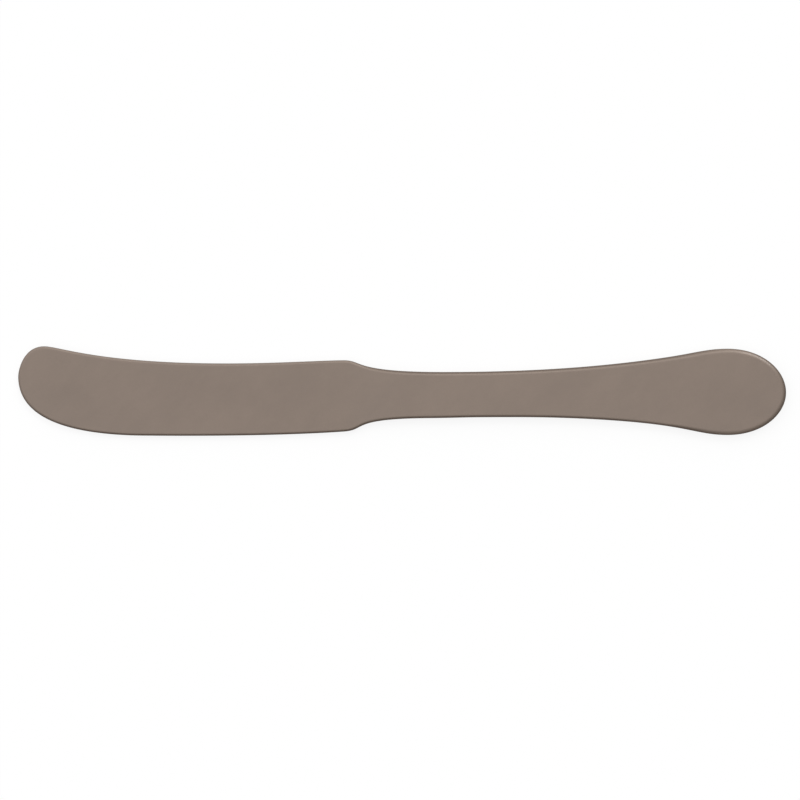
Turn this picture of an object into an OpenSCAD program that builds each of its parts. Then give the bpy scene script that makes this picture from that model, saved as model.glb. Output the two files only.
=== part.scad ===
// Butter knife, lying flat with its spine towards +Y and its tip towards -X.
// A thin blade with a shoulder is brazed by a hidden tang into a flat handle.
// All lengths are in millimetres. The origin is under the middle of the knife, on its flat underside.

/* [Overall] */
// Length from the tip of the blade to the end of the handle
knife_l = 170; // [150:1:200]

/* [Blade outline] */
// Length of the blade, from its tip to the crest of its shoulder
blade_l = 72.1; // [58:0.1:88]
// Width of the blade at the shoulder
blade_w = 15.8; // [13:0.1:19]
// Height of the spine at the shoulder, above the handle's axis
spine_rise = 7; // [5.6:0.1:8.5]
// How far the spine dips between the shoulder and the tip
spine_dip = 0.7; // [0:0.1:1.5]
// How far the crown of the tip stands above the spine at the shoulder
crown_rise = 3.1; // [1:0.1:4.5]
// How far back from the tip the crown lies
crown_l = 5.8; // [4:0.1:8]
// How far the belly hangs below the heel
belly_drop = 0.9; // [0:0.1:2]

/* [Blade section] */
// Thickness of the spine at the shoulder
spine_t = 1.7; // [1.4:0.1:2.4]
// Thickness of the working edge at the shoulder
edge_t = 1.2; // [0.9:0.1:1.6]
// How much thinner the blade is at the tip than at the shoulder
tip_thinning = 0.4; // [0:0.05:0.5]
// Radius of the rim along the spine
spine_rim_r = 1.15; // [0.8:0.05:1.5]
// Radius of the rim along the working edge
edge_rim_r = 0.7; // [0.5:0.05:1]

/* [Shoulder] */
// Length from the crest of the shoulder to the joint with the handle
shoulder_l = 12.5; // [10:0.1:16]

/* [Handle outline] */
// Width of the handle's round end
end_w = 19.1; // [15:0.1:23]
// Length of the round end, from its widest place to the end of the handle
end_l = 12.9; // [10:0.1:17]
// Width of the handle where the flare starts to round over
flare_w = 15.2; // [12:0.1:18]
// Length along which the flare rounds over into the widest place
flare_l = 13.6; // [10:0.1:18]
// How far the middle of the flare stands above the handle's axis
flare_rise = 0.06; // [0:0.02:0.3]
// How far the last point of the handle lies below its axis
end_drop = 0.15; // [0:0.05:0.5]
// Width of the waist, where the handle is narrowest
waist_w = 10; // [8.4:0.1:12]
// Height of the waist's upper side above the handle's axis
waist_rise = 4.4; // [3.6:0.1:5.4]

/* [Handle section] */
// Thickness of the handle, whose two faces are flat and parallel
handle_t = 3; // [2.5:0.1:3.8]
// Radius of the rim along the grip's upper side
upper_rim_r = 1.05; // [0.8:0.05:1.4]
// Radius of the rim along the grip's lower side
lower_rim_r = 0.65; // [0.5:0.05:1]
// Radius of the rim round the handle's end
end_rim_r = 1.95; // [1.4:0.05:2.5]
// Radius of the small corner between every rim and the side wall
corner_r = 0.12; // [0.05:0.01:0.2]

/* [Joint] */
// Length of the tang inside the handle
tang_l = 14; // [8:0.5:20]
// Width of the tang
tang_w = 5.4; // [4:0.1:6.6]
// Thickness of the tang
tang_t = 1.2; // [0.9:0.1:1.5]
// Thickness of the braze between the blade and the handle
braze_gap = 0.08; // [0.05:0.01:0.12]

/* [Hidden] */

// Matt taupe coating over the steel, and the silver alloy of the braze
coating = [0.54, 0.49, 0.45];
alloy = [0.78, 0.76, 0.70];

// How far a cut or an inner overlap runs past the face that it crosses
overrun = 1;

// Places along the knife
tip_x = -knife_l / 2;
end_x = knife_l / 2;
crest_x = tip_x + blade_l;
joint_x = crest_x + shoulder_l;
handle_l = end_x - joint_x;
widest_x = end_x - end_l;

// Heights above the handle's axis
crown_y = spine_rise + crown_rise;
dip_y = spine_rise - spine_dip;
heel_y = spine_rise - blade_w;
belly_y = heel_y - belly_drop;
waist_y = waist_rise - waist_w;

// Where the outline's knots lie: along the blade from its tip, up the tip from belly to crown,
// and along the handle from the joint
dip_share = 0.64;
belly_share = 0.4;
nose_share = 0.66;
upper_waist_share = 0.11;
neck_share = 0.07;
lower_waist_share = 0.3;
// How far the neck has drawn in towards the waist, from the heel
neck_drawn_share = 0.93;
// Slopes of the outline at its sloping knots, in degrees
flare_slope = 8.5;
heel_slope = 4;
neck_slope = 0.5;

// How far each stretch of outline keeps the headings of its first and last knots, as shares of its
// reach: along the upper side from the nose to the end of the handle, and then along the lower side
upper_pull_shares = [
    [0.2, 0.82],
    [0.08, 0.7],
    [0.43, 0.18],
    [0.2, 0.92],
    [0.36, 0.32],
    [0.5, 0.35],
    [0.61, 0.5],
];
lower_pull_shares = [
    [0.79, 0.52],
    [0.04, 0.4],
    [0.28, 0.94],
    [0.46, 0.73],
    [0.41, 0.22],
    [0.5, 0.35],
    [0.61, 0.5],
];

// How far each rim turns down from the face before its corner, in degrees. The corner turns the rest of
// the way down to the upright side wall.
spine_rim_turn = 28;
edge_rim_turn = 50;
grip_rim_turn = 54;
end_rim_turn = 29;
upright = 90;
// The most of the local thickness that a rim and its corner may take
rim_limit_share = 0.3;
corner_limit_share = 0.15;
// Steps round a rim and round its corner
rim_steps = 4;
corner_steps = 3;
// Halvings in the search for the place of a station on the outline
search_steps = 30;

function mix(a, b, share) = a + (b - a) * share;
function along(angle) = [cos(angle), sin(angle)];

// One stretch of outline as four control points, between two knots with their headings in degrees
function stretch(from, from_heading, to, to_heading, pull_shares) =
    let (reach = to - from, out = along(from_heading), back = along(to_heading))
    let (out_reach = abs(out.x) > abs(out.y) ? reach.x : abs(reach.y))
    let (back_reach = abs(back.x) > abs(back.y) ? reach.x : abs(reach.y))
    [from, from + out * pull_shares[0] * out_reach, to - back * pull_shares[1] * back_reach, to];

function stretch_point(s, t) =
    pow(1 - t, 3) * s[0] + 3 * pow(1 - t, 2) * t * s[1] + 3 * (1 - t) * t * t * s[2] + pow(t, 3) * s[3];

function stretch_heading(s, t) =
    pow(1 - t, 2) * (s[1] - s[0]) + 2 * (1 - t) * t * (s[2] - s[1]) + t * t * (s[3] - s[2]);

// Knots that both sides share
nose = [tip_x, mix(belly_y, crown_y, nose_share)];
butt = [end_x, -end_drop];

crown = [tip_x + crown_l, crown_y];
dip = [tip_x + dip_share * blade_l, dip_y];
crest = [crest_x, spine_rise];
upper_waist = [joint_x + upper_waist_share * handle_l, waist_rise];
upper_flare = [widest_x - flare_l, flare_rise + flare_w / 2];
upper_end = [widest_x, end_w / 2];

belly = [tip_x + belly_share * blade_l, belly_y];
heel = [crest_x, heel_y];
neck = [joint_x + neck_share * handle_l, mix(heel_y, waist_y, neck_drawn_share)];
lower_waist = [joint_x + lower_waist_share * handle_l, waist_y];
lower_flare = [widest_x - flare_l, flare_rise - flare_w / 2];
lower_end = [widest_x, -end_w / 2];

upper_side = [
    stretch(nose, 90, crown, 0, upper_pull_shares[0]),
    stretch(crown, 0, dip, 0, upper_pull_shares[1]),
    stretch(dip, 0, crest, 0, upper_pull_shares[2]),
    stretch(crest, 0, upper_waist, 0, upper_pull_shares[3]),
    stretch(upper_waist, 0, upper_flare, flare_slope, upper_pull_shares[4]),
    stretch(upper_flare, flare_slope, upper_end, 0, upper_pull_shares[5]),
    stretch(upper_end, 0, butt, -90, upper_pull_shares[6]),
];

lower_side = [
    stretch(nose, -90, belly, 0, lower_pull_shares[0]),
    stretch(belly, 0, heel, heel_slope, lower_pull_shares[1]),
    stretch(heel, heel_slope, neck, neck_slope, lower_pull_shares[2]),
    stretch(neck, neck_slope, lower_waist, 0, lower_pull_shares[3]),
    stretch(lower_waist, 0, lower_flare, -flare_slope, lower_pull_shares[4]),
    stretch(lower_flare, -flare_slope, lower_end, 0, lower_pull_shares[5]),
    stretch(lower_end, 0, butt, 90, lower_pull_shares[6]),
];

function parameter_at(s, x, low = 0, high = 1, steps = search_steps) =
    let (middle = (low + high) / 2)
    steps == 0 ? middle
    : stretch_point(s, middle).x < x ? parameter_at(s, x, middle, high, steps - 1)
    : parameter_at(s, x, low, middle, steps - 1);

// Stations from one place to the next, closer together near the first if crowding is over 1
function stations(from, to, count, crowding) =
    [for (i = [0:count - 1]) mix(from, to, pow(i / count, crowding))];

blade_stations = concat(
    stations(tip_x, crown.x, 12, 2),
    stations(crown.x, crest_x, 28, 1.4),
    stations(crest_x, joint_x, 18, 1),
    [joint_x]
);

handle_stations = concat(
    stations(end_x, widest_x, 18, 2),
    stations(widest_x, upper_flare.x, 8, 1),
    stations(upper_flare.x, joint_x + braze_gap, 24, 1),
    [joint_x + braze_gap]
);

function stretch_at(side, x) = [for (piece = side) if (x <= piece[3].x) piece][0];
function side_y(side, x) = let (s = stretch_at(side, x)) stretch_point(s, parameter_at(s, x)).y;

// The outline's box is centred on the origin
all_stations = concat(blade_stations, handle_stations);
highest_y = max([for (x = all_stations) side_y(upper_side, x)]);
lowest_y = min([for (x = all_stations) side_y(lower_side, x)]);
centre_y = (highest_y + lowest_y) / 2;

// A place on one side of the outline: its point, and the direction that points out of the knife there.
// hand is 1 on the upper side and -1 on the lower side.
function side_place(side, hand, x) =
    let (s = stretch_at(side, x))
    let (t = parameter_at(s, x), heading = stretch_heading(s, t))
    [stretch_point(s, t) - [0, centre_y], hand * [-heading.y, heading.x] / norm(heading)];

// 0 at the belly and 1 at the spine, with y measured from the middle of the outline's box
function spine_part(y) = (y + centre_y - belly_y) / (spine_rise - belly_y);

function blade_t(x, y) = mix(edge_t, spine_t, spine_part(y)) - tip_thinning * (crest_x - x) / blade_l;

// 0 on the blade and 1 on the handle, with a smooth step along the shoulder
function handle_part(x) =
    let (share = max(0, min(1, (x - crest_x) / shoulder_l)))
    share * share * (3 - 2 * share);

// 0 on the grip and 1 round the handle's end
function end_part(x) = max(0, min(1, (x - upper_flare.x) / flare_l));

// The thickness anywhere lies half above and half below the knife's middle plane
function wall_t(x, y) = mix(blade_t(x, y), handle_t, handle_part(x));
function under_z(x, y) = (handle_t - wall_t(x, y)) / 2;
function over_z(x, y) = (handle_t + wall_t(x, y)) / 2;

// What holds on the blade, on the grip and at the end, joined along the knife
function blend(x, blade_value, grip_value, end_value) =
    mix(mix(blade_value, grip_value, handle_part(x)), end_value, end_part(x));

function rim_turn(x, y) =
    blend(x, mix(edge_rim_turn, spine_rim_turn, spine_part(y)), grip_rim_turn, end_rim_turn);

function rim_r(x, y) =
    let (blade_r = mix(edge_rim_r, spine_rim_r, spine_part(y)))
    let (grip_r = mix(lower_rim_r, upper_rim_r, spine_part(y)))
    min(blend(x, blade_r, grip_r, end_rim_r), rim_limit_share * wall_t(x, y) / (1 - cos(rim_turn(x, y))));

// How far out from the flat face, and how far down, a rim has come where it has turned by the given angle
function rim_point(r, corner, turn, angle) =
    let (kept = min(angle, turn))
    [
        r * sin(kept) + corner * (sin(angle) - sin(kept)),
        r * (1 - cos(kept)) + corner * (cos(kept) - cos(angle))
    ];

// The rounded rim at one place, from the upper face down to the side wall and round to the under face
function rim(place) =
    let (p = place[0], out = place[1], r = rim_r(p.x, p.y), turn = rim_turn(p.x, p.y))
    let (corner = min(corner_r, corner_limit_share * wall_t(p.x, p.y)))
    let (angles = concat(
        [for (i = [0:rim_steps]) turn * i / rim_steps],
        [for (i = [1:corner_steps]) mix(turn, upright, i / corner_steps)]
    ))
    let (steps = [for (angle = angles) rim_point(r, corner, turn, angle)], last = len(steps) - 1)
    let (q = p - out * steps[last].x, top = over_z(q.x, q.y), bottom = under_z(q.x, q.y))
    let (ways = [for (s = steps) q + out * s.x])
    concat(
        [for (i = [0:last]) [ways[i].x, ways[i].y, top - steps[i].y]],
        [for (i = [last:-1:0]) [ways[i].x, ways[i].y, bottom + steps[i].y]]
    );

// The places round one half of the knife, anticlockwise from above: from the joint along the first side to
// the closed end and back along the second. At the joint the rim turns square to the knife's length.
function half_places(xs, first, first_hand, second) =
    let (last = len(xs) - 1)
    [for (i = [last:-1:0]) i == last ? squared(side_place(first, first_hand, xs[i]))
        : side_place(first, first_hand, xs[i]),
     for (i = [1:last]) i == last ? squared(side_place(second, -first_hand, xs[i]))
        : side_place(second, -first_hand, xs[i])];

function squared(place) = [place[0], [0, sign(place[1].y)]];

blade_rims = [for (place = half_places(blade_stations, upper_side, 1, lower_side)) rim(place)];
handle_rims = [for (place = half_places(handle_stations, lower_side, -1, upper_side)) rim(place)];

// The knife's cross-section at the joint, as points of y and z
joint_section =
    let (first = blade_rims[0], second = blade_rims[len(blade_rims) - 1])
    [for (p = second) [p.y, p.z], for (i = [len(first) - 1:-1:0]) [first[i].y, first[i].z]];

// A solid half of the knife, skinned over its rims
module rimmed_half(rims) {
    around = len(rims);
    across = len(rims[0]);
    middle = (around - 1) / 2;
    function at(j, k) = j * across + k;
    sides = [
        for (j = [0:around - 2])
            for (k = [0:across - 2])
                for (face = [
                    [at(j, k), at(j + 1, k), at(j, k + 1)],
                    [at(j + 1, k), at(j + 1, k + 1), at(j, k + 1)],
                ]) face
    ];
    over = [
        for (j = [0:middle - 1])
            for (face = [
                [at(j, 0), at(around - 1 - j, 0), at(j + 1, 0)],
                [at(j + 1, 0), at(around - 1 - j, 0), at(around - 2 - j, 0)],
            ]) if (face[0] != face[2]) face
    ];
    under = [for (face = over) [for (corner = [2:-1:0]) face[corner] + across - 1]];
    cap = [
        for (k = [0:across - 1]) at(0, k),
        for (k = [across - 1:-1:0]) at(around - 1, k)
    ];
    polyhedron([for (ring = rims) for (p = ring) p], concat(sides, over, under, [cap]));
}

// The tang's own form, grown all round by the given amount, from behind the joint to its round end
module tang_form(grown) {
    joint_y = (joint_section[0].x + joint_section[len(joint_section) - 1].x) / 2;
    half_w = tang_w / 2 + grown;
    half_t = tang_t / 2 + grown;
    round_x = joint_x + tang_l - tang_w / 2;
    translate([0, joint_y, handle_t / 2 - half_t]) {
        translate([joint_x - overrun, -half_w, 0])
            cube([round_x - joint_x + overrun, 2 * half_w, 2 * half_t]);
        translate([round_x, 0, 0])
            cylinder(h = 2 * half_t, r = half_w, $fn = 64);
    }
}

// Blade with its shoulder, ending in the tang
module blade() {
    color(coating) union() {
        rimmed_half(blade_rims);
        tang_form(0);
    }
}

// Handle with the blind slot that takes the tang
module handle() {
    color(coating) difference() {
        rimmed_half(handle_rims);
        tang_form(braze_gap);
    }
}

// The film of brazing alloy: a plate between the two faces and a sleeve round the tang
module braze_joint() {
    color(alloy) difference() {
        union() {
            translate([joint_x, 0, 0])
                rotate([90, 0, 90])
                    linear_extrude(height = braze_gap) polygon(joint_section);
            intersection() {
                tang_form(braze_gap);
                translate([joint_x, -blade_w, -overrun])
                    cube([tang_l + overrun, 2 * blade_w, handle_t + 2 * overrun]);
            }
        }
        tang_form(0);
    }
}

blade();
handle();
braze_joint();
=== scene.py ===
# Butter knife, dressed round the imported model: taupe coated steel on a plain pale floor
import math
import bmesh
import bpy
import numpy as np
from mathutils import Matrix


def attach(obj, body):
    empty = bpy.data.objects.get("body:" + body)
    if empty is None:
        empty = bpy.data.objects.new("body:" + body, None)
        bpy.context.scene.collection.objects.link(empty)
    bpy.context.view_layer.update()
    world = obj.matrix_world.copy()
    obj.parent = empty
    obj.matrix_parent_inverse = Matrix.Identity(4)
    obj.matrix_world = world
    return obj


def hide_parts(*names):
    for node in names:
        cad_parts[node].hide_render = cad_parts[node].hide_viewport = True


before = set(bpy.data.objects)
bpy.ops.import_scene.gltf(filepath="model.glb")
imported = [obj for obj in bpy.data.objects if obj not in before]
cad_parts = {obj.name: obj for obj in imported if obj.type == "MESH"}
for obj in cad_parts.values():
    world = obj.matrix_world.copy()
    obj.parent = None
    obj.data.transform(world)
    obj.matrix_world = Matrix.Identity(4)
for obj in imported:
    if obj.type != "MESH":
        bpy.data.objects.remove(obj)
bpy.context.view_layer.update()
print("frame loaded:", sorted(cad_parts))

mm = 0.001
scene = bpy.context.scene
scene.view_settings.view_transform = "Standard"


# camera, straight above the knife with the spine at the top of the picture

photoView = {
    "middle": (-0.44, -1.98),       # middle of the picture, from the middle of the knife, in mm
    "width": 177.1,                 # what the picture takes in across the knife's face, in mm
    "faceHeight": 2.3,              # height of that face above the floor, in mm
    "lens": 200.0, "sensor": 36.0,
    "nearest": 0.01, "farthest": 50.0,  # what the camera sees, in metres from it
}


def makeCamera(v):
    data = bpy.data.cameras.new("photoCamera")
    data.lens = v["lens"]
    data.sensor_width = v["sensor"]
    data.clip_start = v["nearest"]
    data.clip_end = v["farthest"]
    away = v["width"] * v["lens"] / v["sensor"] + v["faceHeight"]
    camera = bpy.data.objects.new("photoCamera", data)
    camera.location = (v["middle"][0] * mm, v["middle"][1] * mm, away * mm)
    scene.collection.objects.link(camera)
    scene.camera = camera


makeCamera(photoView)
print("camera set")


# outline and thickness of the knife, in millimetres, as in the solids

outline = {
    "length": 170.0,
    "bladeLength": 72.1, "bladeWidth": 15.8,
    "spineRise": 7.0, "spineDip": 0.7,
    "crownRise": 3.1, "crownLength": 5.8,
    "bellyDrop": 0.9,
    "shoulderLength": 12.5,
    "endWidth": 19.1, "endLength": 12.9,
    "flareWidth": 15.2, "flareLength": 13.6,
    "flareRise": 0.06, "endDrop": 0.15,
    "waistWidth": 10.0, "waistRise": 4.4,
    # places of the knots as shares of the blade's length, its tip's height and the handle's length
    "dipShare": 0.64, "bellyShare": 0.4, "noseShare": 0.66,
    "upperWaistShare": 0.11, "neckShare": 0.07, "lowerWaistShare": 0.3,
    "neckDrawnShare": 0.93,         # how far the neck has drawn in from the heel to the waist
    "flareSlope": 8.5, "heelSlope": 4.0, "neckSlope": 0.5,  # degrees
    # how far each stretch keeps the headings of its two knots
    "upperPulls": [
        (0.2, 0.82), (0.08, 0.7), (0.43, 0.18), (0.2, 0.92),
        (0.36, 0.32), (0.5, 0.35), (0.61, 0.5),
    ],
    "lowerPulls": [
        (0.79, 0.52), (0.04, 0.4), (0.28, 0.94), (0.46, 0.73),
        (0.41, 0.22), (0.5, 0.35), (0.61, 0.5),
    ],
    "halvings": 40,                 # in the search for a place on the curve
}

section = {
    "spineThickness": 1.7, "edgeThickness": 1.2, "tipThinning": 0.4,
    "handleThickness": 3.0,
    # radii of the rims, and the degrees that each turns down from the face before its corner
    "spineRim": 1.15, "edgeRim": 0.7, "upperRim": 1.05, "lowerRim": 0.65, "endRim": 1.95,
    "spineTurn": 28.0, "edgeTurn": 50.0, "gripTurn": 54.0, "endTurn": 29.0,
    "corner": 0.12,                 # radius of the corner between the rim and the side wall
    "rimLimit": 0.3, "cornerLimit": 0.15,   # most of the local thickness that they may take
    "rimSteps": 8, "cornerSteps": 5,
    "columns": (0.02, 0.08, 0.25, 0.5, 0.75, 0.92, 0.98),   # support edges across each flat face
    "inset": 0.001,                 # keeps the skin inside the solids' straight facets
}

brazeGap = 0.08                     # thickness of the braze between the blade and the handle

tip = -outline["length"] / 2
end = outline["length"] / 2
crest = tip + outline["bladeLength"]
joint = crest + outline["shoulderLength"]
handleLength = end - joint
widest = end - outline["endLength"]
heelY = outline["spineRise"] - outline["bladeWidth"]
bellyY = heelY - outline["bellyDrop"]
crownY = outline["spineRise"] + outline["crownRise"]
waistY = outline["waistRise"] - outline["waistWidth"]


def mixed(a, b, share):
    return a + (b - a) * share


def stretch(start, startHeading, stop, stopHeading, pulls):
    # four control points of the curve between two knots, with their headings in degrees
    start, stop = np.array(start, float), np.array(stop, float)
    reach = stop - start
    points = [start]
    for knot, heading, pull, sign in (
        (start, startHeading, pulls[0], 1),
        (stop, stopHeading, pulls[1], -1),
    ):
        way = np.array([math.cos(math.radians(heading)), math.sin(math.radians(heading))])
        length = reach[0] if abs(way[0]) > abs(way[1]) else abs(reach[1])
        points.append(knot + sign * way * pull * length)
    return np.array(points + [stop])


def knifeSides(o):
    nose = (tip, mixed(bellyY, crownY, o["noseShare"]))
    butt = (end, -o["endDrop"])
    neckY = mixed(heelY, waistY, o["neckDrawnShare"])
    flareX = widest - o["flareLength"]
    upper = [
        (nose, 90), ((tip + o["crownLength"], crownY), 0),
        ((tip + o["dipShare"] * o["bladeLength"], o["spineRise"] - o["spineDip"]), 0),
        ((crest, o["spineRise"]), 0),
        ((joint + o["upperWaistShare"] * handleLength, o["waistRise"]), 0),
        ((flareX, o["flareRise"] + o["flareWidth"] / 2), o["flareSlope"]),
        ((widest, o["endWidth"] / 2), 0), (butt, -90),
    ]
    lower = [
        (nose, -90), ((tip + o["bellyShare"] * o["bladeLength"], bellyY), 0),
        ((crest, heelY), o["heelSlope"]),
        ((joint + o["neckShare"] * handleLength, neckY), o["neckSlope"]),
        ((joint + o["lowerWaistShare"] * handleLength, waistY), 0),
        ((flareX, o["flareRise"] - o["flareWidth"] / 2), -o["flareSlope"]),
        ((widest, -o["endWidth"] / 2), 0), (butt, 90),
    ]
    sides = []
    for knots, pulls in ((upper, o["upperPulls"]), (lower, o["lowerPulls"])):
        sides.append([stretch(*a, *b, p) for a, b, p in zip(knots, knots[1:], pulls)])
    return sides


upperSide, lowerSide = knifeSides(outline)


def sidePlaces(side, hand, xs):
    # points of one side at the given places along the knife, and the way out of the knife there
    points, ways = [], []
    for x in xs:
        s = next(piece for piece in side if x <= piece[3][0])
        low, high = 0.0, 1.0
        for _ in range(outline["halvings"]):
            t = (low + high) / 2
            at = (1 - t)**3 * s[0] + 3 * (1 - t)**2 * t * s[1] + 3 * (1 - t) * t**2 * s[2] + t**3 * s[3]
            low, high = (t, high) if at[0] < x else (low, t)
        heading = (1 - t)**2 * (s[1] - s[0]) + 2 * (1 - t) * t * (s[2] - s[1]) + t**2 * (s[3] - s[2])
        points.append(at)
        ways.append(hand * np.array([-heading[1], heading[0]]) / np.linalg.norm(heading))
    return np.array(points), np.array(ways)


def run(start, stop, count, crowding=1.0):
    # places along the knife, closer together near the first if crowding is over 1
    return [mixed(start, stop, (i / count)**crowding) for i in range(count)]


# where the skin's rings of points lie, crowded at the tip and at the handle's end
stations = {
    "tipReach": 5.0, "tipCount": 30, "bladeCount": 170, "shoulderCount": 40,
    "endReach": 10.0, "endCount": 40, "handleCount": 170,
    "crowding": 2.0,
}


def bladeStations(s):
    tipEnds = tip + s["tipReach"]
    curved = run(tip, tipEnds, s["tipCount"], s["crowding"])
    return curved + run(tipEnds, crest, s["bladeCount"]) + run(crest, joint, s["shoulderCount"]) + [joint]


def handleStations(s):
    endStarts, front = end - s["endReach"], joint + brazeGap
    curved = run(end, endStarts, s["endCount"], s["crowding"])
    return curved + run(endStarts, front, s["handleCount"]) + [front]


bladeXs = bladeStations(stations)
handleXs = handleStations(stations)

# the outline's box is centred on the origin: its top is on the blade, and so is its lowest point
highestY = sidePlaces(upperSide, 1, bladeXs)[0][:, 1].max()
lowestY = sidePlaces(lowerSide, -1, bladeXs)[0][:, 1].min()
centreY = (highestY + lowestY) / 2


def spinePart(y):
    # 0 at the belly and 1 at the spine
    return (y + centreY - bellyY) / (outline["spineRise"] - bellyY)


def bladeThickness(x, y):
    s = section
    thinning = s["tipThinning"] * (crest - x) / outline["bladeLength"]
    return mixed(s["edgeThickness"], s["spineThickness"], spinePart(y)) - thinning


def handlePart(x):
    # 0 on the blade and 1 on the handle, with a smooth step along the shoulder
    share = np.clip((x - crest) / outline["shoulderLength"], 0, 1)
    return share * share * (3 - 2 * share)


def wall(x, y):
    return mixed(bladeThickness(x, y), section["handleThickness"], handlePart(x))


def blend(x, blade, grip, handleEnd):
    # what holds on the blade, on the grip and at the end, joined along the knife
    endPart = np.clip((x - widest + outline["flareLength"]) / outline["flareLength"], 0, 1)
    return mixed(mixed(blade, grip, handlePart(x)), handleEnd, endPart)


def rimTurn(x, y):
    s = section
    blade = mixed(s["edgeTurn"], s["spineTurn"], spinePart(y))
    return np.radians(blend(x, blade, s["gripTurn"], s["endTurn"]))


def rimRadius(x, y):
    s = section
    blade = mixed(s["edgeRim"], s["spineRim"], spinePart(y))
    grip = mixed(s["lowerRim"], s["upperRim"], spinePart(y))
    most = s["rimLimit"] * wall(x, y) / (1 - np.cos(rimTurn(x, y)))
    return np.minimum(blend(x, blade, grip, s["endRim"]), most)


def rimRings(points, ways):
    # one row of points for each place on the contour, from the upper face round the rim and its
    # corner, down the side wall and round to the under face
    s = section
    x, y = points[:, 0], points[:, 1]
    turn, radius = rimTurn(x, y)[:, None], rimRadius(x, y)[:, None]
    corner = np.minimum(s["corner"], s["cornerLimit"] * wall(x, y))[:, None]
    upright = math.pi / 2
    angles = np.concatenate([
        turn * np.linspace(0, 1, s["rimSteps"] + 1),
        mixed(turn, upright, np.linspace(0, 1, s["cornerSteps"] + 1)[1:]),
    ], axis=1)
    kept = np.minimum(angles, turn)
    out = radius * np.sin(kept) + corner * (np.sin(angles) - np.sin(kept))
    drop = radius * (1 - np.cos(kept)) + corner * (np.cos(kept) - np.cos(angles))
    inner = points - ways * out[:, -1:]
    half = wall(inner[:, 0], inner[:, 1])[:, None] / 2
    flat = inner[:, None, :] + ways[:, None, :] * out[..., None]
    middle = s["handleThickness"] / 2
    top = np.dstack([flat, middle + half - drop])
    bottom = np.dstack([flat, middle - half + drop])
    return np.concatenate([top, bottom[:, ::-1]], axis=1)


def halfContour(xs, first, firstHand, second):
    # places round one half of the knife, from the joint along one side and back along the other
    firstPoints, firstWays = sidePlaces(first, firstHand, xs[::-1])
    secondPoints, secondWays = sidePlaces(second, -firstHand, xs[1:])
    ways = np.concatenate([firstWays, secondWays])
    points = np.concatenate([firstPoints, secondPoints]) - [0, centreY] - section["inset"] * ways
    for k in (0, -1):   # square to the knife's length at the joint
        ways[k] = [0, np.sign(ways[k][1])]
    return points, ways


def newPiece(name, mesh):
    bmesh.ops.recalc_face_normals(mesh, faces=mesh.faces)
    data = bpy.data.meshes.new(name)
    mesh.to_mesh(data)
    mesh.free()
    piece = bpy.data.objects.new(name, data)
    scene.collection.objects.link(piece)
    return piece


def skinHalf(name, rings):
    # closed mesh over the rims, with support edges across the upper and under faces
    around, across = rings.shape[:2]
    turn = (around - 1) // 2
    mesh = bmesh.new()
    grid = [[mesh.verts.new(p * mm) for p in ring] for ring in rings]
    for j in range(around - 1):
        for k in range(across - 1):
            mesh.faces.new((grid[j][k], grid[j][k + 1], grid[j + 1][k + 1], grid[j + 1][k]))
    caps = []
    for k, upward in ((0, True), (across - 1, False)):
        rows = []
        for j in range(turn):
            a, b = grid[j][k], grid[around - 1 - j][k]
            between = [mesh.verts.new(a.co.lerp(b.co, share)) for share in section["columns"]]
            rows.append([a] + between + [b])
        for near, far in zip(rows, rows[1:]):
            for i in range(len(near) - 1):
                face = [near[i], far[i], far[i + 1], near[i + 1]]
                mesh.faces.new(face if upward else face[::-1])
        last = rows[-1]
        for i in range(len(last) - 1):
            face = [last[i], grid[turn][k], last[i + 1]]
            mesh.faces.new(face if upward else face[::-1])
        caps.append(rows[0])
    seam = caps[0] + grid[-1][1:] + caps[1][::-1][1:] + grid[0][::-1][1:-1]
    mesh.faces.new(seam)
    return newPiece(name, mesh)


bladeRings = rimRings(*halfContour(bladeXs, upperSide, 1, lowerSide))
handleRings = rimRings(*halfContour(handleXs, lowerSide, -1, upperSide))


# tang of the blade, and the slot that takes it

tang = {"length": 14.0, "width": 5.4, "thickness": 1.2, "overrun": 1.0, "roundSteps": 32}


def tangForm(name, grown, start):
    # the tang, grown all round by the given amount, from the given place to its round end
    t = tang
    halfWidth = t["width"] / 2 + grown
    halfThick = t["thickness"] / 2 + grown
    roundX = joint + t["length"] - t["width"] / 2
    middleY = (bladeRings[0][:, 1].max() + bladeRings[-1][:, 1].min()) / 2
    lowZ = section["handleThickness"] / 2 - halfThick
    corners = [(start, -halfWidth), (start, halfWidth)]
    for i in range(t["roundSteps"] + 1):
        turn = math.pi * (0.5 - i / t["roundSteps"])
        corners.append((roundX + halfWidth * math.cos(turn), halfWidth * math.sin(turn)))
    mesh = bmesh.new()
    low = [mesh.verts.new((x * mm, (y + middleY) * mm, lowZ * mm)) for x, y in corners]
    face = mesh.faces.new(low)
    grownUp = bmesh.ops.extrude_face_region(mesh, geom=[face])["geom"]
    rise = [v for v in grownUp if isinstance(v, bmesh.types.BMVert)]
    bmesh.ops.translate(mesh, verts=rise, vec=(0, 0, 2 * halfThick * mm))
    return newPiece(name, mesh)


def combine(piece, tool, how):
    # joins or cuts with a tool body, and removes the tool
    step = piece.modifiers.new(how.lower(), "BOOLEAN")
    step.operation = how
    step.object = tool
    step.solver = "EXACT"
    bpy.context.view_layer.update()
    made = bpy.data.meshes.new_from_object(piece.evaluated_get(bpy.context.evaluated_depsgraph_get()))
    piece.modifiers.clear()
    piece.data = made
    bpy.data.objects.remove(tool)


smoothing = {"sharpAngle": 40.0, "weight": 60}


def smoothPiece(piece, s):
    piece.data.shade_smooth()
    piece.data.set_sharp_from_angle(angle=math.radians(s["sharpAngle"]))
    even = piece.modifiers.new("even faces", "WEIGHTED_NORMAL")
    even.keep_sharp = True
    even.weight = s["weight"]


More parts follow.
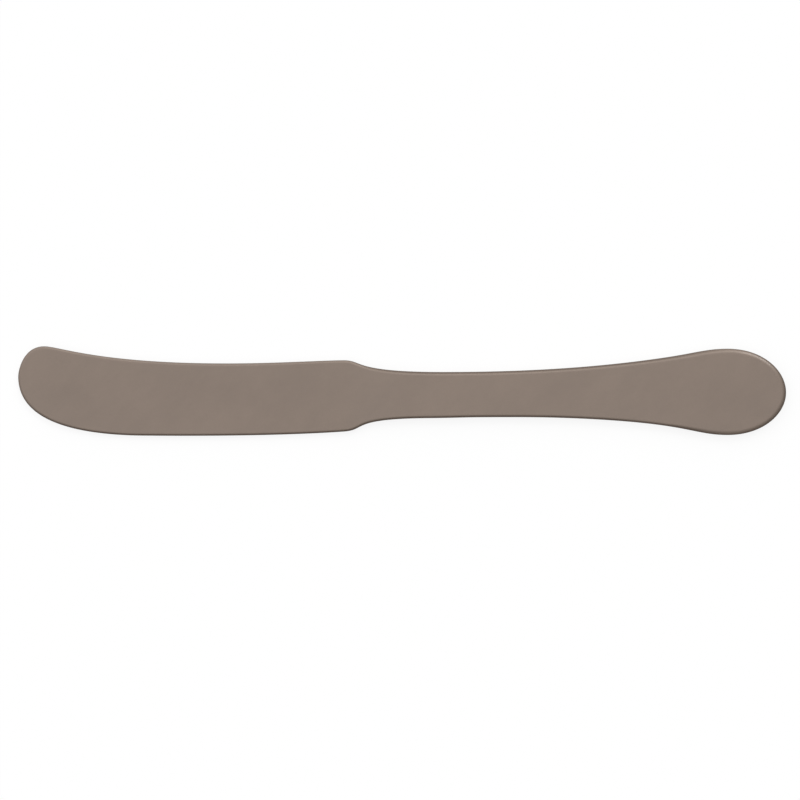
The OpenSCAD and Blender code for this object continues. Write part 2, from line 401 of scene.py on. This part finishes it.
behindJoint = joint - tang["overrun"]
bladePiece = skinHalf("blade_with_tang", bladeRings)
combine(bladePiece, tangForm("tangTool", 0, behindJoint), "UNION")
handlePiece = skinHalf("handle_with_slot", handleRings)
combine(handlePiece, tangForm("slotTool", brazeGap, behindJoint), "DIFFERENCE")


def brazeFilm():
    # plate between the two faces, with a sleeve round the tang
    ring = np.concatenate([bladeRings[-1], bladeRings[0][::-1]])
    mesh = bmesh.new()
    near = [mesh.verts.new(p * mm) for p in ring]
    far = [mesh.verts.new((p + [brazeGap, 0, 0]) * mm) for p in ring]
    count = len(ring)
    for i in range(count):
        mesh.faces.new((near[i], near[(i + 1) % count], far[(i + 1) % count], far[i]))
    mesh.faces.new(near)
    mesh.faces.new(far[::-1])
    piece = newPiece("brazed_seam", mesh)
    combine(piece, tangForm("sleeveTool", brazeGap, joint), "UNION")
    combine(piece, tangForm("coreTool", 0, behindJoint), "DIFFERENCE")
    return piece


seamPiece = brazeFilm()
for piece in (bladePiece, handlePiece, seamPiece):
    smoothPiece(piece, smoothing)
print("pieces made:", [(p.name, len(p.data.polygons)) for p in (bladePiece, handlePiece, seamPiece)])


# finishes

def newMaterial(name):
    material = bpy.data.materials.new(name)
    material.use_nodes = True
    nodes = material.node_tree.nodes
    return material, nodes, material.node_tree.links, nodes["Principled BSDF"]


def addNode(nodes, kind, **values):
    node = nodes.new(kind)
    for key, value in values.items():
        setattr(node, key, value)
    return node


def addNoise(nodes, links, place, size, detail=2.0, rough=0.5):
    # noise with spots of about the given size, in mm
    noise = addNode(nodes, "ShaderNodeTexNoise")
    noise.inputs["Scale"].default_value = 1 / (size * mm)
    noise.inputs["Detail"].default_value = detail
    noise.inputs["Roughness"].default_value = rough
    links.new(place, noise.inputs["Vector"])
    return noise.outputs["Fac"]


def addRange(nodes, links, value, seen, wanted):
    # carries a noise from the span that it fills to the wanted one
    node = addNode(nodes, "ShaderNodeMapRange")
    for socket, number in zip(("From Min", "From Max", "To Min", "To Max"), (*seen, *wanted)):
        node.inputs[socket].default_value = number
    links.new(value, node.inputs["Value"])
    return node.outputs["Result"]


taupeCoat = {
    "warm": (0.1710, 0.1276, 0.0998),
    "cool": (0.1702, 0.1272, 0.0998),
    "edgeTint": 0.0,                # how much of the light a grazing edge gives back
    "metallic": 0.68,
    "lacquer": {"weight": 1.0, "roughness": 0.27, "ior": 1.5},  # thin clear layer over the colour
    "roughness": (0.43, 0.47),
    "cloudSize": 11.0,              # mm
    "cloudTurn": 38.0,              # degrees, the way the face was rubbed
    "cloudStretch": 1.5,
    "cloudDetail": 6.0, "cloudRough": 0.68,
    "cloudDepth": 0.05,
    "grainSize": 0.28,              # mm
    "grainDetail": 2.0,
    "grainDepth": 0.02,
    "grainHeight": 0.0016,          # mm
    "grainStrength": 0.5,
    "tintSpan": (0.35, 0.65),       # what the noise has to fill to go from cool to warm
    "noiseSpan": (0.3, 0.7),        # what it fills for depth and roughness
}


def coatedSteel(c):
    material, nodes, links, shader = newMaterial("taupeCoatedSteel")
    place = addNode(nodes, "ShaderNodeTexCoord").outputs["Object"]
    turned = addNode(nodes, "ShaderNodeMapping", vector_type="TEXTURE")
    turned.inputs["Rotation"].default_value = (0, 0, math.radians(c["cloudTurn"]))
    turned.inputs["Scale"].default_value = (c["cloudStretch"], 1, 1)
    links.new(place, turned.inputs["Vector"])
    rubbed = turned.outputs["Vector"]
    cloud = addNoise(nodes, links, rubbed, c["cloudSize"], c["cloudDetail"], c["cloudRough"])
    grain = addNoise(nodes, links, place, c["grainSize"], c["grainDetail"])

    tint = addNode(nodes, "ShaderNodeMix", data_type="RGBA")
    tint.inputs["A"].default_value = (*c["cool"], 1)
    tint.inputs["B"].default_value = (*c["warm"], 1)
    links.new(addRange(nodes, links, cloud, c["tintSpan"], (0, 1)), tint.inputs["Factor"])

    # lighter and darker patches and grain, about a middle of one
    both = addNode(nodes, "ShaderNodeMath", operation="MULTIPLY")
    for k, (noise, depth) in enumerate(((cloud, c["cloudDepth"]), (grain, c["grainDepth"]))):
        links.new(addRange(nodes, links, noise, c["noiseSpan"], (1 - depth, 1 + depth)), both.inputs[k])
    shaded = addNode(nodes, "ShaderNodeVectorMath", operation="SCALE")
    links.new(tint.outputs["Result"], shaded.inputs["Vector"])
    links.new(both.outputs["Value"], shaded.inputs["Scale"])
    links.new(shaded.outputs["Vector"], shader.inputs["Base Color"])

    # the lighter patches are the smoother ones
    rough = addRange(nodes, links, cloud, c["noiseSpan"], c["roughness"][::-1])
    links.new(rough, shader.inputs["Roughness"])

    bump = addNode(nodes, "ShaderNodeBump")
    bump.inputs["Strength"].default_value = c["grainStrength"]
    bump.inputs["Distance"].default_value = c["grainHeight"] * mm
    links.new(grain, bump.inputs["Height"])
    links.new(bump.outputs["Normal"], shader.inputs["Normal"])
    shader.inputs["Metallic"].default_value = c["metallic"]
    shader.inputs["Specular Tint"].default_value = (c["edgeTint"], c["edgeTint"], c["edgeTint"], 1)
    shader.inputs["Specular IOR Level"].default_value = 0.0   # the lacquer gives the gloss instead
    shader.inputs["Coat Weight"].default_value = c["lacquer"]["weight"]
    shader.inputs["Coat Roughness"].default_value = c["lacquer"]["roughness"]
    shader.inputs["Coat IOR"].default_value = c["lacquer"]["ior"]
    return material


brazeAlloy = {
    "colour": (0.57, 0.54, 0.45),
    "metallic": 1.0,
    "roughness": (0.28, 0.42),
    "flowSize": 0.4,                # mm
    "coatedLean": 0.5,              # faces that look less than this along the knife are coated
}


def silverBraze(c):
    material, nodes, links, shader = newMaterial("silverBraze")
    place = addNode(nodes, "ShaderNodeTexCoord").outputs["Object"]
    flow = addNoise(nodes, links, place, c["flowSize"])
    links.new(addRange(nodes, links, flow, (0, 1), c["roughness"]), shader.inputs["Roughness"])
    shader.inputs["Base Color"].default_value = (*c["colour"], 1)
    shader.inputs["Metallic"].default_value = c["metallic"]
    return material


coat = coatedSteel(taupeCoat)
alloy = silverBraze(brazeAlloy)
for piece in (bladePiece, handlePiece, seamPiece):
    piece.data.materials.clear()
    piece.data.materials.append(coat)
seamPiece.data.materials.append(alloy)
for face in seamPiece.data.polygons:   # the coat covers the seam's outer ring, the rest is bare alloy
    outer = abs(face.normal.x) < brazeAlloy["coatedLean"] and face.center.x < (joint + brazeGap) * mm
    face.material_index = 0 if outer else 1

for piece, node, slotName in (
    (bladePiece, "blade", "coated_steel"),
    (handlePiece, "handle", "coated_steel"),
    (seamPiece, "braze_joint", "braze_alloy"),
):
    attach(piece, "root")
    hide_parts(node)
print("finishes set")


# floor and light

studio = {
    "floorSize": 8.0,               # metres
    "floorDrop": 0.02,              # mm, so that the floor and the underside don't share a plane
    "floorColour": (0.97, 0.97, 0.97),
    "floorRoughness": 0.9,
    "floorWhite": 0.86,             # share of plain white in it, to the camera and in the metal
    "skyLeast": 0.1,                # strength all round
    "skyPeak": 1.69,                # more of it in one broad patch of the sky
    "skyFade": 1.8,                 # how fast the patch fades away from its middle
    "skyHeight": 63.5,              # degrees above the floor
    "skyTurn": 127.0,               # degrees from +X, towards the spine
    "keyStrength": 0.5,
    "keySpread": 18.0,              # degrees
    "keyHeight": 57.0,              # as the sky's
    "keyTurn": 58.0,
}


def makeFloor(s):
    half, low = s["floorSize"] / 2, -s["floorDrop"] * mm
    data = bpy.data.meshes.new("floor")
    corners = [(-half, -half, low), (half, -half, low), (half, half, low), (-half, half, low)]
    data.from_pydata(corners, [], [(0, 1, 2, 3)])
    floor = bpy.data.objects.new("floor", data)
    scene.collection.objects.link(floor)
    material, nodes, links, shader = newMaterial("paleFloor")
    shader.inputs["Base Color"].default_value = (*s["floorColour"], 1)
    shader.inputs["Roughness"].default_value = s["floorRoughness"]
    shader.inputs["Specular IOR Level"].default_value = 0.0
    white = addNode(nodes, "ShaderNodeEmission")
    ray = addNode(nodes, "ShaderNodeLightPath")
    seen = addNode(nodes, "ShaderNodeMath", operation="MAXIMUM")
    links.new(ray.outputs["Is Camera Ray"], seen.inputs[0])
    links.new(ray.outputs["Is Glossy Ray"], seen.inputs[1])
    either = addNode(nodes, "ShaderNodeMath", operation="MAXIMUM")
    links.new(seen.outputs["Value"], either.inputs[0])
    links.new(ray.outputs["Is Transmission Ray"], either.inputs[1])
    share = addNode(nodes, "ShaderNodeMath", operation="MULTIPLY")
    share.inputs[1].default_value = s["floorWhite"]
    links.new(either.outputs["Value"], share.inputs[0])
    paled = addNode(nodes, "ShaderNodeMixShader")
    links.new(share.outputs["Value"], paled.inputs["Fac"])
    links.new(shader.outputs["BSDF"], paled.inputs[1])
    links.new(white.outputs["Emission"], paled.inputs[2])
    links.new(paled.outputs["Shader"], nodes["Material Output"].inputs["Surface"])
    data.materials.append(material)


def makeLight(s):
    world = bpy.data.worlds.new("softSky")
    scene.world = world
    world.use_nodes = True
    nodes, links = world.node_tree.nodes, world.node_tree.links
    up, turn = math.radians(s["skyHeight"]), math.radians(s["skyTurn"])
    brightest = (math.cos(up) * math.cos(turn), math.cos(up) * math.sin(turn), math.sin(up))
    away = addNode(nodes, "ShaderNodeTexCoord")
    near = addNode(nodes, "ShaderNodeVectorMath", operation="DOT_PRODUCT")
    near.inputs[1].default_value = brightest
    links.new(away.outputs["Generated"], near.inputs[0])
    ahead = addNode(nodes, "ShaderNodeMath", operation="MAXIMUM")
    ahead.inputs[1].default_value = 0.0
    links.new(near.outputs["Value"], ahead.inputs[0])
    faded = addNode(nodes, "ShaderNodeMath", operation="POWER")
    faded.inputs[1].default_value = s["skyFade"]
    links.new(ahead.outputs["Value"], faded.inputs[0])
    level = addNode(nodes, "ShaderNodeMath", operation="MULTIPLY_ADD")
    level.inputs[1].default_value = s["skyPeak"]
    level.inputs[2].default_value = s["skyLeast"]
    links.new(faded.outputs["Value"], level.inputs[0])
    links.new(level.outputs["Value"], nodes["Background"].inputs["Strength"])
    nodes["Background"].inputs["Color"].default_value = (1, 1, 1, 1)

    data = bpy.data.lights.new("keyLight", "SUN")
    data.energy = s["keyStrength"]
    data.angle = math.radians(s["keySpread"])
    key = bpy.data.objects.new("keyLight", data)
    key.rotation_euler = (0, math.radians(90 - s["keyHeight"]), math.radians(s["keyTurn"]))
    scene.collection.objects.link(key)


makeFloor(studio)
makeLight(studio)
print("floor and light set")
